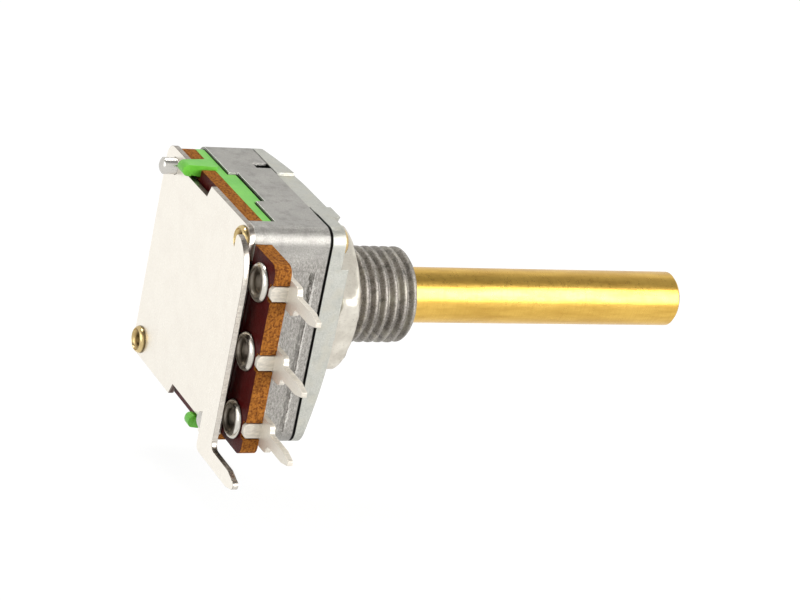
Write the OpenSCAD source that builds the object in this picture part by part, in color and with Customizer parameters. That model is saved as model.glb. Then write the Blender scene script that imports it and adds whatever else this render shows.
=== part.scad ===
// Rotary potentiometer with a square case, a threaded bushing and a plain round shaft.
// Millimetres. +X runs out of the front along the shaft, +Z is up and the terminals point to -Y.
// The origin is on the shaft axis, at the front mounting face.

/* [Shaft] */
// Diameter of the round shaft
shaft_d = 4; // [3:0.1:4.6]
// Distance from the mounting face to the shaft's tip
shaft_reach = 30.9; // [16:0.1:60]
// Chamfer at the shaft's tip
tip_chamfer = 0.25; // [0.05:0.05:0.6]
// Diameter of the shaft's journal, which turns in the bushing
journal_d = 3.6; // [3.2:0.1:3.6]
// Gap between the bushing's mouth and the shoulder in front of the journal
mouth_gap = 0.12; // [0.06:0.02:0.3]
// Running clearance between journal and bushing, on the radius
bore_clear = 0.04; // [0.02:0.01:0.09]

/* [Bushing and nut] */
// Outer diameter of the bushing, over its thread
bushing_d = 7; // [6:0.1:8]
// Length of the bushing from the mounting face
bushing_len = 8.5; // [6:0.05:14]
// Chamfer at the bushing's end
bushing_chamfer = 0.45; // [0.1:0.05:0.8]
// Distance of the thread's pitch line, where nut and bushing meet, from its crests
pitch_line = 0.24; // [0.18:0.02:0.3]
// Width of the thread's first open root in front of the nut
root_w = 0.3; // [0.1:0.05:0.4]
// Diameter of the round seat under the nut
seat_d = 9.2; // [8.6:0.1:10]
// Height of the round seat under the nut
seat_h = 0.9; // [0.4:0.1:1.5]
// Width of the nut across its flats
nut_af = 10; // [9:0.1:12]
// Thickness of the whole nut
nut_t = 2.15; // [1.6:0.05:3]
// Thickness of the nut's hexagonal part, in front of its round collar
hex_t = 0.8; // [0.5:0.05:1.2]
// Chamfer on the nut's front corners
nut_chamfer = 0.3; // [0.1:0.05:0.4]
// Turn of one nut corner from the terminal side, in degrees
nut_turn = 16.5; // [0:0.5:60]

/* [Case] */
// Width of the square case
case_w = 16; // [15.5:0.1:18]
// Radius of the case's corners
corner_r = 1.1; // [0.8:0.1:1.8]
// Thickness of the front flange
flange_t = 1.58; // [1.3:0.02:2.2]
// Width of the dark seam between flange and body
seam_gap = 0.08; // [0.04:0.01:0.2]
// Length of the body casting behind the seam
body_len = 3.63; // [3.2:0.01:5]
// Thinnest wall between the round chamber and the case's sides
case_wall = 1.65; // [1.5:0.05:1.8]
// How far inside the sides' nearest points the corner bevels start on the front face
bevel_in = 0.2; // [0:0.1:0.6]
// Slope of the corner bevels, in degrees from the face
bevel_slope = 16.5; // [10:0.5:24]
// Length of the shallow recess along the flange's upper edge
recess_len = 6.1; // [3:0.1:8]
// Distance of that recess's middle from the middle of the edge
recess_shift = -0.45; // [-1:0.05:1]
// Depth of that recess
recess_depth = 0.24; // [0.1:0.02:0.4]
// Width of the body's post in the upper corner on the terminal side
post_w = 1.7; // [1.5:0.1:2]
// Width of the slot in the body's upper wall
slot_w = 0.9; // [0.6:0.1:1.6]
// Distance of that slot from the body's far side
slot_inset = 3.7; // [3:0.1:4.4]
// Depth of that slot behind the seam
slot_depth = 1.1; // [0.5:0.1:1.5]
// Thickness of the wall that closes the body on the terminal side
side_wall = 0.85; // [0.6:0.05:1]
// Width of the shallow casting step along the terminal side
step_w = 0.35; // [0.2:0.05:0.6]
// Depth of that step
step_depth = 0.12; // [0.05:0.01:0.2]
// Distance of that step behind the seam
step_place = 1.2; // [0.6:0.1:2]

/* [Insulating spacer] */
// Thickness of the green spacer
spacer_t = 0.75; // [0.6:0.01:1.2]
// Length of the tab that drops into the body's upper wall
tab_len = 5; // [3:0.1:6]
// Depth of that tab
tab_depth = 0.62; // [0.3:0.02:1]
// Height of that tab
tab_h = 1.1; // [0.7:0.1:1.2]
// Distance of that tab's middle from the middle of the edge
tab_shift = -0.2; // [-0.4:0.1:0.4]
// Width of each snap hook
hook_w = 1.5; // [1.1:0.05:1.6]
// Distance of the upper snap hook's middle from the case's side
hook_inset = 4.25; // [4.2:0.05:4.6]
// How much nearer to its corner the lower snap hook sits
hook_low_shift = 0.9; // [0:0.05:0.95]
// How far each snap hook stands out of the case's edge
hook_proud = 0.1; // [0:0.05:0.3]
// How far each hook's head reaches down over the rear plate
hook_lip = 0.1; // [0.08:0.01:0.4]
// How far each snap hook stands out of the rear plate
hook_reach = 0.85; // [0.6:0.05:1.2]
// Gap between the spacer and the walls around it
spacer_clear = 0.06; // [0.03:0.01:0.12]

/* [Terminal board] */
// Thickness of the laminated board
board_t = 1.2; // [0.8:0.05:1.6]
// How far the board stands out of the case's terminal side
board_out = 3.85; // [3.75:0.05:4.2]
// How far the board and the spacer stay inside the case's outline
board_inset = 0.15; // [0.05:0.05:0.25]
// Distance of the board's terminal side from the case's top
board_top_inset = 0.97; // [0.9:0.01:1.1]
// Distance of the board's terminal side from the case's bottom
board_low_inset = 1.2; // [0.9:0.02:1.3]
// Radius of the board's two outer corners
board_corner_r = 0.7; // [0.4:0.1:1]

/* [Terminals] */
// Distance of the outer terminals from the case's top and bottom, which sets their pitch
terminal_inset = 3; // [2.8:0.1:3.2]
// Height of the middle terminal above the shaft axis
terminal_z = 0.08; // [-0.2:0.02:0.2]
// Thickness of the terminal sheet
terminal_t = 0.4; // [0.3:0.05:0.4]
// Width of each terminal at its shoulders
shoulder_w = 2.1; // [1.9:0.1:2.6]
// Radius of the shoulders' corners
shoulder_r = 0.35; // [0.2:0.05:0.45]
// Width of each solder pin
pin_w = 0.85; // [0.7:0.05:1.1]
// How far the shoulders stand out of the board's outer edge
shoulder_out = 1.3; // [0.8:0.05:1.8]
// Length of the solder pins from the shoulders
pin_len = 3.45; // [2.5:0.05:8]
// Length of the taper at each pin's tip
pin_taper = 1; // [0.5:0.1:1.4]
// Width of each locating tab that is folded through the board's edge
lug_w = 1.05; // [0.8:0.05:1.4]
// Length of the taper at the end of each locating tab
lug_taper = 0.2; // [0.1:0.05:0.4]
// How far each locating tab stands out behind the board
lug_proud = 0.03; // [0.01:0.01:0.2]
// Depth of the notch that takes each locating tab
notch_depth = 0.45; // [0.45:0.01:0.5]
// Distance of the terminal eyelets from the case's terminal side
eyelet_out = 1.87; // [1.8:0.01:1.94]
// Diameter of each terminal eyelet's rolled head
eyelet_head_d = 2.75; // [2.4:0.05:3]
// Bore of each terminal eyelet
eyelet_bore = 1.3; // [0.8:0.05:1.5]
// Wall of each eyelet's tube
eyelet_wall = 0.2; // [0.15:0.01:0.25]
// Height of each eyelet's rolled head
eyelet_head_h = 0.34; // [0.25:0.01:0.45]

/* [Rear plate] */
// Thickness of the rear plate and its leg
plate_t = 0.4; // [0.3:0.05:0.5]
// Corner radius of the rear plate
plate_corner_r = 1.1; // [0.8:0.1:1.5]
// Depth of the notches for the snap hooks
plate_notch_depth = 0.92; // [0.8:0.02:1]
// Distance of each notch's inner corner from the middle of its edge
plate_notch_start = 0.05; // [0:0.05:0.5]
// How far each notch's slanted end runs back towards the other side
plate_notch_lean = 0.45; // [0:0.05:0.6]
// How far the leg's strip stands behind the plate
strip_rise = 1.03; // [0.8:0.01:1.4]
// Distance of the strip's inner edge from the case's terminal side
strip_inset = 0.1; // [0.05:0.01:0.2]
// Width of the strip at its foot
strip_w = 2.3; // [1.8:0.05:2.6]
// How much wider the strip is at its upper end
strip_flare = 0.55; // [0:0.05:0.8]
// How far the strip's upper end stands above the case
strip_over = 0.1; // [-0.4:0.05:0.3]
// Radius of the strip's upper corners
strip_end_r = 0.9; // [0.2:0.1:1.1]
// Width of the soldering leg
leg_w = 1.15; // [0.8:0.05:1.4]
// How far the leg's lower edge stands below the case
leg_drop = 0.15; // [0.1:0.05:1.2]
// How far the leg's tip stands out of the case's terminal side
leg_out = 6.9; // [5:0.1:10]
// Length of the taper at the leg's tip
leg_taper = 1.2; // [0.6:0.1:1.5]

/* [Corner fasteners] */
// Distance of the brass corner eyelets from the case's sides, both ways
corner_inset = 1.16; // [1.12:0.01:1.3]
// Diameter of each corner eyelet's rolled head
corner_head_d = 2; // [1.8:0.05:2.2]
// Bore of each corner eyelet
corner_bore = 0.95; // [0.7:0.05:1]
// Height of each corner eyelet's rolled head
corner_head_h = 0.4; // [0.3:0.01:0.5]
// Depth of the round pad that takes the front head
pad_depth = 0.55; // [0.3:0.05:0.8]
// Diameter of that pad
pad_d = 3.9; // [2.6:0.1:4]
// Diameter of the two plain corner pins
corner_pin_d = 1.2; // [0.9:0.05:1.3]
// Sideways distance of the corner pins from the case's sides
pin_inset_y = 1.72; // [1.65:0.01:1.8]
// Distance of the corner pins from the case's top and bottom
pin_inset_z = 1.2; // [1.1:0.01:1.3]
// How far the upper corner pin stands out of the rear plate
corner_pin_proud = 1.15; // [0.6:0.05:1.5]
// How much shorter the lower corner pin is
corner_pin_short = 0.6; // [0:0.05:0.7]
// Height of the dome on each corner pin's end
pin_dome = 0.25; // [0.1:0.05:0.4]
// Depth of the blind hole that holds each corner pin in the body
corner_pin_grip = 2; // [1:0.1:2.5]

/* [Moving parts] */
// Thickness of the thrust washer behind the flange
washer_t = 0.3; // [0.2:0.05:0.4]
// Diameter of the thrust washer
washer_d = 7.2; // [6:0.1:8]
// Thickness of the retaining clip
clip_t = 0.4; // [0.3:0.05:0.5]
// Diameter of the retaining clip
clip_d = 6.4; // [5.6:0.1:7]
// How much narrower the clip's mouth is than the bottom of its groove
clip_grip = 0.3; // [0.1:0.1:0.6]
// Depth of the shaft's groove for the clip
groove_depth = 0.45; // [0.3:0.05:0.5]
// Gap between the rotor's disc and the chamber's wall, which the stop lug crosses
rotor_inset = 0.85; // [0.8:0.05:1]
// Thickness of the rotor's disc
rotor_t = 1; // [0.6:0.1:1.2]
// Height of the hub in front of the disc
hub_step = 0.35; // [0.2:0.05:0.5]
// Wall of the rotor's hub around the shaft
hub_wall = 0.7; // [0.4:0.05:0.8]
// Half angle of the rotor's stop lug and of the body's stop, in degrees
stop_angle = 14.5; // [10:0.5:20]
// Depth of the flat on the shaft's tail
tail_flat = 0.5; // [0.3:0.1:0.8]
// Thickness of the contact spring
spring_t = 0.14; // [0.1:0.02:0.2]
// Width of each contact finger
finger_w = 0.5; // [0.3:0.1:0.5]
// Radius of the rounded contact at each finger's tip
tip_r = 0.18; // [0.1:0.01:0.25]
// Height of the bar that carries the fingers
bar_z = 0.4; // [0.2:0.1:0.5]
// Width of that bar
bar_h = 0.5; // [0.3:0.1:0.5]
// Height of the fingers' contact points
tip_z = -1.1; // [-1.3:0.1:-0.8]

/* [Printed tracks] */
// Thickness of the printed tracks
track_t = 0.06; // [0.04:0.01:0.08]
// Distance of the resistive track's middle from the chamber's wall
track_inset = 1.15; // [1.15:0.01:1.25]
// Width of the resistive track
track_w = 0.9; // [0.6:0.1:1]
// Distance of the collector ring's middle from the rotor's hub
collector_gap = 0.4; // [0.4:0.01:0.5]
// Width of the collector ring
collector_w = 0.7; // [0.4:0.1:0.8]
// Half angle of the gap between the resistive track's ends, in degrees
track_angle = 18; // [15:1:35]

/* [Hidden] */
$fn = 64;

half = case_w / 2;
pitch = half - terminal_inset;
eyelet_y = half + eyelet_out;
board_reach = half + board_out;
board_up = half - board_top_inset;
board_down = half - board_low_inset;
shoulder_y = board_reach + shoulder_out;
pin_tip_y = shoulder_y + pin_len;
corner_off = half - corner_inset;
corner_pin_y = half - pin_inset_y;
corner_pin_z = half - pin_inset_z;
hook_off = half - hook_inset;
pin_fillet = (shoulder_w - pin_w) / 2 - shoulder_r;
strip_y = half - strip_inset;
strip_up = half + strip_over;
leg_down = half + leg_drop;
leg_tip_y = half + leg_out;
bevel_r = half - bevel_in;
journal_r = journal_d / 2;
bore_r = journal_r + bore_clear;
engaged_r = bushing_d / 2 - pitch_line;
// Small gap that keeps two touching curved faces apart
fit_gap = 0.02;
// Stretch by which a cutter runs past what it cuts
past = 1;

// Stations along the shaft, from the front to the back
flange_back = -flange_t;
body_front = flange_back - seam_gap;
body_back = body_front - body_len;
spacer_back = body_back - spacer_t;
board_back = spacer_back - board_t;
plate_back = board_back - plate_t;
strip_back = plate_back - strip_rise;

// The post in the upper corner on the terminal side, which the board and the spacer go around
post_inner_y = -half + post_w;
post_r = corner_head_d / 2;
post_floor = board_up + spacer_clear;

chamber_r = half - case_wall;
rotor_r = chamber_r - rotor_inset;
hub_r = journal_r + hub_wall;
track_r = chamber_r - track_inset;
collector_r = hub_r + collector_gap;
corner_hole_r = corner_bore / 2 + eyelet_wall + fit_gap;
board_half = half - board_inset;

// Levels of the snap hooks above the middle of the case
notch_floor = half - plate_notch_depth;
hook_top = half + hook_proud;
hook_low = notch_floor + spacer_clear;

washer_back = flange_back - washer_t;
clip_front = washer_back - fit_gap;
clip_back = clip_front - clip_t;
rotor_gap = 0.12;
// Air around the rotor's edge
rim_gap = 0.15;
// Clearance around each terminal's locating tab, and around the corner eyelets' heads
lug_clear = 0.1;
// Air between the contacts and the printed tracks at rest
tip_gap = 0.04;
hub_front = clip_back - rotor_gap;
hub_back = spacer_back + track_t + rotor_gap / 2;
disc_front = hub_front - hub_step;
disc_back = disc_front - rotor_t;
tail_end = hub_back + rotor_gap;

function terminal_height(i) = terminal_z + (1 - i) * pitch;

// Place of a snap hook along its edge: the lower one is the upper one turned, but nearer its corner
function hook_place(turn) = turn == 0 ? hook_off : hook_off + hook_low_shift;

// A flat outline in Y and Z, drawn from x0 to x1
module slab(x0, x1) {
    translate([x0, 0, 0]) rotate([90, 0, 90]) linear_extrude(height = x1 - x0) children();
}

// A round bar along X at the place y, z
module rod(x0, x1, r, y = 0, z = 0) {
    translate([x0, y, z]) rotate([0, 90, 0]) cylinder(h = x1 - x0, r = r);
}

// A turned solid about the line through y, z: its profile holds radius and X
module turned(y = 0, z = 0) {
    translate([0, y, z]) rotate([0, 90, 0]) rotate_extrude() children();
}

// A rectangle from y0, z0 to y1, z1 with round corners
module round_rect(y0, y1, z0, z1, r) {
    translate([y0 + r, z0]) square([y1 - y0 - 2 * r, z1 - z0]);
    translate([y0, z0 + r]) square([y1 - y0, z1 - z0 - 2 * r]);
    for (y = [y0 + r, y1 - r], z = [z0 + r, z1 - r]) translate([y, z]) circle(r = r);
}

// A plain rectangle from y0, z0 to y1, z1
module rect(y0, y1, z0, z1) {
    translate([y0, z0]) square([y1 - y0, z1 - z0]);
}

// A sector of the half angle a about the direction "toward", with its point on the axis
module sector(r, a, toward = 0) {
    intersection() {
        circle(r = r);
        rotate(toward) polygon([
            [0, 0], [2 * r, -2 * r * tan(a)], [2 * r, 2 * r * tan(a)]
        ]);
    }
}

// The brass corner eyelets sit in two opposite corners, the plain pins in the other two
module corner_eyelet_holes(x0, x1) {
    for (s = [1, -1]) rod(x0, x1, corner_hole_r, -s * corner_off, s * corner_off);
}

module corner_pin_holes(x0, x1) {
    for (s = [1, -1]) {
        rod(x0, x1, corner_pin_d / 2 + fit_gap, s * corner_pin_y, s * corner_pin_z);
    }
}

// Outline of the post, with a gap around it where another piece goes round it
module post_outline(gap = 0) {
    rect(-half - gap, post_inner_y + gap, post_floor - gap, half + gap);
    rect(-half - gap, -corner_off, corner_off - post_r - gap, half + gap);
    translate([-corner_off, corner_off]) circle(r = post_r + gap);
}

// Conical bevels on the two corners that carry the plain pins
module corner_bevels() {
    rise = past * tan(bevel_slope);
    fall = case_w * tan(bevel_slope);
    intersection() {
        turned() polygon([
            [bevel_r - past, rise],
            [bevel_r + case_w, rise],
            [bevel_r + case_w, -fall]
        ]);
        for (s = [1, -1]) {
            slab(flange_back - past, past) translate([s * half, s * half]) square(case_w, center = true);
        }
    }
}

module front_flange() {
    color("#c3c6bf") difference() {
        union() {
            slab(flange_back, 0) round_rect(-half, half, -half, half, corner_r);
            rod(0, seat_h, seat_d / 2);
            turned() polygon([
                [0, -flange_t / 2],
                [engaged_r, -flange_t / 2],
                [engaged_r, seat_h + nut_t + root_w],
                [bushing_d / 2, seat_h + nut_t + root_w],
                [bushing_d / 2, bushing_len - bushing_chamfer],
                [bushing_d / 2 - bushing_chamfer, bushing_len],
                [0, bushing_len]
            ]);
        }
        rod(flange_back - past, bushing_len + past, bore_r);
        corner_eyelet_holes(flange_back - past, past);
        for (s = [1, -1]) rod(-pad_depth, past, pad_d / 2, -s * corner_off, s * corner_off);
        corner_bevels();
        translate([flange_back - past, recess_shift - recess_len / 2, half - recess_depth])
            cube([flange_t + 2 * past, recess_len, recess_depth + past]);
    }
}

module body_casting() {
    tab_slot = tab_len + 2 * spacer_clear;
    step_back = body_front - step_place - step_w;
    color("#a6a4a0") difference() {
        union() {
            slab(body_back, body_front) round_rect(-half, half, -half, half, corner_r);
            slab(body_front, flange_back) circle(r = half - corner_r / 3);
            slab(spacer_back, body_back) intersection() {
                round_rect(-half, half, -half, half, corner_r);
                union() {
                    rect(-half, -half + side_wall, -half, half);
                    post_outline();
                }
            }
            slab(board_back, spacer_back) intersection() {
                round_rect(-half, half, -half, half, corner_r);
                post_outline();
            }
        }
        slab(body_back - past, body_front + past) difference() {
            circle(r = chamber_r);
            difference() {
                sector(chamber_r + past, stop_angle, 180);
                circle(r = rotor_r + rim_gap);
            }
        }
        rod(spacer_back - past, body_back + past, chamber_r);
        corner_eyelet_holes(board_back - past, flange_back + past);
        corner_pin_holes(body_back - past, body_back + corner_pin_grip);
        slab(body_back - past, body_back + tab_depth + spacer_clear) rect(
            tab_shift - tab_slot / 2, tab_shift + tab_slot / 2,
            board_half - tab_h - spacer_clear, half + past
        );
        slab(body_front - slot_depth, flange_back + past) rect(
            half - slot_inset - slot_w, half - slot_inset, half - slot_w, half + past
        );
        slab(step_back, step_back + step_w) rect(
            -half - past, -half + step_depth, -half + corner_r, half - 2 * corner_r
        );
    }
}

// One snap hook: a stem through the board and the plate's notch, and a head that grips the plate
module hook(place) {
    head_low = hook_low - hook_lip;
    round_r = (hook_top - head_low) / 2;
    head_end = plate_back - hook_reach;
    translate([0, place + hook_w / 2, 0]) rotate([90, 0, 0]) linear_extrude(height = hook_w) {
        rect(plate_back - fit_gap, spacer_back + spacer_t / 4, hook_low, hook_top);
        intersection() {
            rect(head_end, plate_back - fit_gap, head_low, hook_top);
            union() {
                rect(head_end + round_r, plate_back, head_low, hook_top);
                translate([head_end + round_r, head_low + round_r]) circle(r = round_r);
            }
        }
    }
}

module insulating_spacer() {
    color("#5bc23a") difference() {
        union() {
            slab(spacer_back, body_back) difference() {
                intersection() {
                    round_rect(-half, board_half, -board_half, board_half, corner_r);
                    rect(-half + side_wall + spacer_clear, half, -half, half);
                }
                post_outline(spacer_clear);
                circle(r = chamber_r);
            }
            slab(body_back - spacer_t / 2, body_back + tab_depth) rect(
                tab_shift - tab_len / 2, tab_shift + tab_len / 2, board_half - tab_h, board_half
            );
            for (turn = [0, 180]) rotate([turn, 0, 0]) hook(hook_place(turn));
        }
        corner_eyelet_holes(spacer_back - past, body_back + past);
        corner_pin_holes(spacer_back - past, body_back + past);
    }
}

// Outline of the laminated board, before its holes
module board_outline() {
    difference() {
        union() {
            round_rect(-half - corner_r, board_half, -board_half, board_half, corner_r);
            round_rect(-board_reach, 0, -board_down, board_up, board_corner_r);
        }
        rect(-board_reach - past, -half - spacer_clear, board_up, half + past);
        rect(-board_reach - past, -half + side_wall / 2, -half - past, -board_down);
        post_outline(spacer_clear);
        for (i = [0:2]) {
            rect(
                -board_reach - past, -board_reach + notch_depth,
                terminal_height(i) - lug_w / 2 - lug_clear, terminal_height(i) + lug_w / 2 + lug_clear
            );
        }
        for (turn = [0, 180]) {
            place = hook_place(turn);
            rotate(turn) rect(
                place - hook_w / 2 - spacer_clear, place + hook_w / 2 + spacer_clear,
                notch_floor, half + past
            );
        }
    }
}

module terminal_board() {
    color("#6b2a14") difference() {
        slab(board_back, spacer_back) board_outline();
        corner_eyelet_holes(board_back - past, spacer_back + past);
        corner_pin_holes(board_back - past, spacer_back + past);
        for (i = [0:2]) {
            rod(
                board_back - past, spacer_back + past,
                eyelet_bore / 2 + eyelet_wall + fit_gap, -eyelet_y, terminal_height(i)
            );
        }
    }
}

module resistive_track() {
    color("#2b2724") slab(spacer_back, spacer_back + track_t) difference() {
        circle(r = track_r + track_w / 2);
        circle(r = track_r - track_w / 2);
        sector(track_r + track_w, track_angle, 180);
    }
}

module collector_ring() {
    color("#b9b6ae") slab(spacer_back, spacer_back + track_t) difference() {
        circle(r = collector_r + collector_w / 2);
        circle(r = collector_r - collector_w / 2);
    }
}

// A terminal's shoulders, with round outer corners and a fillet on each side of the pin
module shoulders() {
    end = -shoulder_y + shoulder_r;
    side = shoulder_w / 2 - shoulder_r;
    rect(end, -half - spacer_clear, -shoulder_w / 2, shoulder_w / 2);
    rect(-shoulder_y, end, -side, side);
    for (s = [1, -1]) {
        translate([end, s * side]) circle(r = shoulder_r);
        mirror([0, s < 0 ? 1 : 0]) difference() {
            rect(-shoulder_y - pin_fillet, -shoulder_y + fit_gap, 0, pin_w / 2 + pin_fillet);
            translate([-shoulder_y - pin_fillet, pin_w / 2 + pin_fillet]) circle(r = pin_fillet);
        }
    }
}

// One terminal: a flat strip under the board, a tab folded through its edge, and a pin
module terminal(i) {
    z = terminal_height(i);
    lug_y = -board_reach + notch_depth - fit_gap;
    lug_end = board_back - lug_proud;
    color("#dcd6c8") translate([0, 0, z]) {
        slab(spacer_back, spacer_back + terminal_t) difference() {
            union() {
                shoulders();
                polygon([
                    [-shoulder_y, -pin_w / 2],
                    [-pin_tip_y + pin_taper, -pin_w / 2],
                    [-pin_tip_y, -pin_w / 5],
                    [-pin_tip_y, pin_w / 5],
                    [-pin_tip_y + pin_taper, pin_w / 2],
                    [-shoulder_y, pin_w / 2]
                ]);
            }
            translate([-eyelet_y, 0]) circle(r = eyelet_bore / 2 + eyelet_wall + fit_gap);
        }
        translate([0, lug_y, 0]) rotate([90, 0, 0]) linear_extrude(height = terminal_t) polygon([
            [spacer_back + terminal_t, -lug_w / 2],
            [lug_end + lug_taper, -lug_w / 2],
            [lug_end, -lug_w / 4],
            [lug_end, lug_w / 4],
            [lug_end + lug_taper, lug_w / 2],
            [spacer_back + terminal_t, lug_w / 2]
        ]);
    }
}

// A rolled eyelet: a tube from x0 to x1 with a rounded head at each end
module eyelet(x0, x1, bore, head_d, head_h, y, z) {
    tube_r = bore / 2 + eyelet_wall;
    turned(y, z) difference() {
        union() {
            rect(bore / 2, tube_r, x0 - head_h / 2, x1 + head_h / 2);
            for (side = [-1, 1]) {
                end = side < 0 ? x0 : x1;
                intersection() {
                    translate([head_d / 2 - head_h, end]) circle(r = head_h);
                    rect(bore / 2, head_d, min(end, end + side * head_h), max(end, end + side * head_h));
                }
                rect(
                    bore / 2, head_d / 2 - head_h,
                    min(end, end + side * head_h), max(end, end + side * head_h)
                );
            }
        }
        for (side = [-1, 1]) {
            end = side < 0 ? x0 - head_h : x1 + head_h;
            translate([bore / 2, end]) circle(r = head_h * 0.8);
        }
    }
}

module terminal_eyelet(i) {
    color("#b8b3a8") eyelet(
        board_back, spacer_back + terminal_t, eyelet_bore, eyelet_head_d, eyelet_head_h,
        -eyelet_y, terminal_height(i)
    );
}

// Outline of the leg's strip and of the leg that turns out of its lower end
module strip_outline() {
    outer_y = -strip_y - strip_w;
    leg_top = -leg_down + leg_w;
    fillet = leg_w / 3;
    difference() {
        polygon([
            [-strip_y, -leg_down + fillet],
            [-strip_y - fillet, -leg_down],
            [-leg_tip_y + leg_taper, -leg_down],
            [-leg_tip_y, -leg_down + leg_w / 4],
            [-leg_tip_y, -leg_down + leg_w / 2],
            [-leg_tip_y + leg_taper, leg_top],
            [outer_y - fillet, leg_top],
            [outer_y, leg_top + fillet],
            [outer_y - strip_flare, strip_up],
            [-strip_y, strip_up]
        ]);
        for (side = [0, 1]) {
            translate([side == 0 ? outer_y - strip_flare : -strip_y, strip_up])
                mirror([side, 0]) corner_cut(strip_end_r);
        }
    }
}

// What a rounded upper corner at the origin takes away, with the outline on its +Y side
module corner_cut(r) {
    difference() {
        translate([-past, -r]) square([past + r, r + past]);
        translate([r, -r]) circle(r = r);
    }
}

// The two notches that clear the snap hooks, one in the upper and one in the lower edge
module plate_notches() {
    slant = plate_notch_lean / plate_notch_depth;
    for (turn = [0, 180]) {
        end_y = hook_place(turn) + hook_w / 2 + spacer_clear;
        rotate(turn) polygon([
            [plate_notch_start, notch_floor],
            [end_y, notch_floor],
            [end_y, half + past],
            [plate_notch_start - slant * (plate_notch_depth + past), half + past]
        ]);
    }
}

// The plate steps backwards along its terminal side, and the strip stands on that step
module rear_plate() {
    wall_up = corner_off - corner_head_d / 2 - lug_clear;
    wall_down = -half + plate_corner_r;
    color("#efeae0") difference() {
        union() {
            slab(plate_back, board_back) difference() {
                round_rect(-half, half, -half, half, plate_corner_r);
                plate_notches();
                rect(-half - past, -strip_y, -half - past, half + past);
            }
            slab(strip_back, board_back) rect(-strip_y - plate_t, -strip_y, wall_down, wall_up);
            slab(strip_back, strip_back + plate_t) strip_outline();
        }
        corner_eyelet_holes(plate_back - past / 2, board_back + past);
        corner_pin_holes(plate_back - past, board_back + past);
    }
}

// One brass corner eyelet: s is 1 for the upper one, on the terminal side, and -1 for the lower
module corner_eyelet(s) {
    color("#cfa94a") eyelet(
        plate_back, -pad_depth, corner_bore, corner_head_d, corner_head_h,
        -s * corner_off, s * corner_off
    );
}

// One plain corner pin: s is 1 for the upper one and -1 for the lower
module corner_pin(s) {
    r = corner_pin_d / 2;
    tip = plate_back - corner_pin_proud + (s < 0 ? corner_pin_short : 0);
    dome_r = (r * r + pin_dome * pin_dome) / (2 * pin_dome);
    color("#b9b5ad") turned(s * corner_pin_y, s * corner_pin_z) intersection() {
        rect(0, r, tip, body_back + corner_pin_grip - fit_gap);
        union() {
            rect(0, r, tip + pin_dome, body_back + corner_pin_grip);
            translate([0, tip + dome_r]) circle(r = dome_r);
        }
    }
}

module mounting_nut() {
    corner_reach = nut_af / 2 / cos(30);
    collar_r = nut_af / 2;
    front = seat_h + nut_t;
    color("#d8d2c3") difference() {
        intersection() {
            union() {
                rod(seat_h, front - hex_t / 2, collar_r);
                translate([front - hex_t, 0, 0]) rotate([0, 90, 0]) rotate(nut_turn - 90)
                    cylinder(h = hex_t, r = corner_reach, $fn = 6);
            }
            turned() polygon([
                [0, seat_h],
                [corner_reach, seat_h],
                [corner_reach, front - nut_chamfer],
                [corner_reach - nut_chamfer * 2, front],
                [0, front]
            ]);
        }
        rod(seat_h - past, front + past, engaged_r + fit_gap);
    }
}

module thrust_washer() {
    color("#c79a55") slab(washer_back, flange_back) difference() {
        circle(r = washer_d / 2);
        circle(r = bore_r);
    }
}

module shaft() {
    r = shaft_d / 2;
    color("#d8b145") difference() {
        turned() polygon([
            [0, tail_end],
            [journal_r, tail_end],
            [journal_r, clip_back - fit_gap],
            [journal_r - groove_depth, clip_back - fit_gap],
            [journal_r - groove_depth, clip_front + fit_gap],
            [journal_r, clip_front + fit_gap],
            [journal_r, bushing_len + mouth_gap],
            [r, bushing_len + mouth_gap],
            [r, shaft_reach - tip_chamfer],
            [r - tip_chamfer, shaft_reach],
            [0, shaft_reach]
        ]);
        translate([tail_end - past, -r, journal_r - tail_flat])
            cube([hub_front - tail_end + past, shaft_d, shaft_d]);
    }
}

// The clip is open on one side, so that it can be pushed into the shaft's groove
module retaining_clip() {
    mouth = journal_d - 2 * groove_depth - clip_grip;
    color("#8f8c86") slab(clip_back, clip_front) difference() {
        circle(r = clip_d / 2);
        circle(r = journal_r - groove_depth + fit_gap);
        rect(-mouth / 2, mouth / 2, -clip_d, 0);
    }
}

module rotor() {
    color("#3a3734") difference() {
        union() {
            rod(hub_back, hub_front, hub_r);
            rod(disc_back, disc_front, rotor_r);
            slab(disc_back, disc_front) sector(chamber_r - rim_gap, stop_angle, 0);
        }
        slab(hub_back - past, hub_front + past) difference() {
            circle(r = journal_r + fit_gap);
            rect(-journal_d, journal_d, journal_r - tail_flat + fit_gap, journal_d);
        }
    }
}

// Two fingers reach from a bar on the rotor down to the two printed tracks
module contact_spring() {
    bar_x = disc_back - spring_t;
    tip_x = spacer_back + track_t + tip_r + tip_gap;
    drop = bar_x - tip_x;
    run = bar_z - tip_z;
    color("#c98b4a") {
        translate([bar_x, collector_r - finger_w / 2, bar_z - spring_t])
            cube([spring_t, track_r - collector_r + finger_w, bar_h + spring_t]);
        for (y = [track_r, collector_r]) {
            translate([bar_x, y - finger_w / 2, bar_z]) rotate([0, atan2(drop, run), 0])
                translate([0, 0, -norm([drop, run])])
                    cube([spring_t, finger_w, norm([drop, run])]);
            translate([tip_x, y + finger_w / 2, tip_z]) rotate([90, 0, 0])
                cylinder(h = finger_w, r = tip_r);
        }
    }
}

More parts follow.
